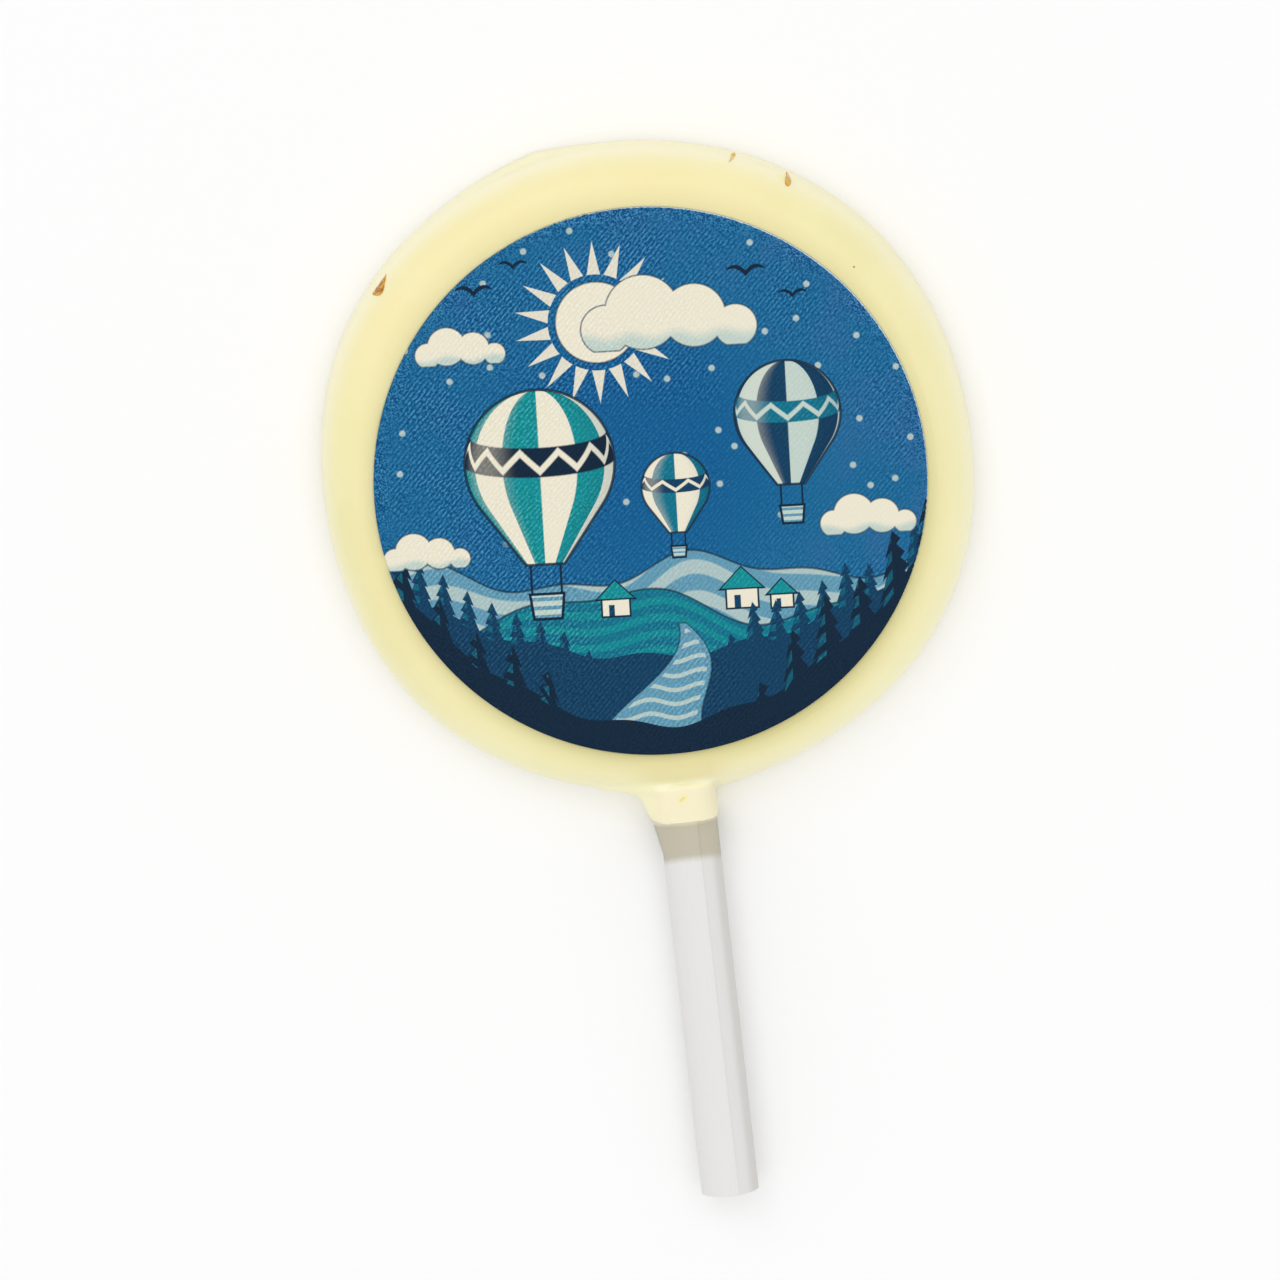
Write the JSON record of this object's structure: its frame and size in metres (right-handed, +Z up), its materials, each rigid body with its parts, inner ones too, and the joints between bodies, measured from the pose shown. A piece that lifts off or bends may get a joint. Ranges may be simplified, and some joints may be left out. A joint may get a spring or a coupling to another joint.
{
  "type": "chocolate lollipop",
  "caption": "Round cast white chocolate lollipop lying on its flat back, with a printed sheet on its face and a paper stick in a collar.",
  "frame": {"origin": "centre of the head's round outline, on the flat back that the lollipop lies on", "axes": "+X across the printed face, +Y from the stick towards the top of the head, +Z up out of the printed face"},
  "size_m": [0.0693, 0.1138, 0.009],
  "materials": {
    "white_chocolate": "smooth cast white chocolate, satin",
    "printed_sheet": "edible sheet printed in blues, teal and cream, finely embossed, soft sheen",
    "stick_paper": "rolled white paper, matte"
  },
  "bodies": {
    "root": {"chocolate_head": "white_chocolate", "printed_disc": "printed_sheet", "stick": "stick_paper"}
  },
  "joints": []
}
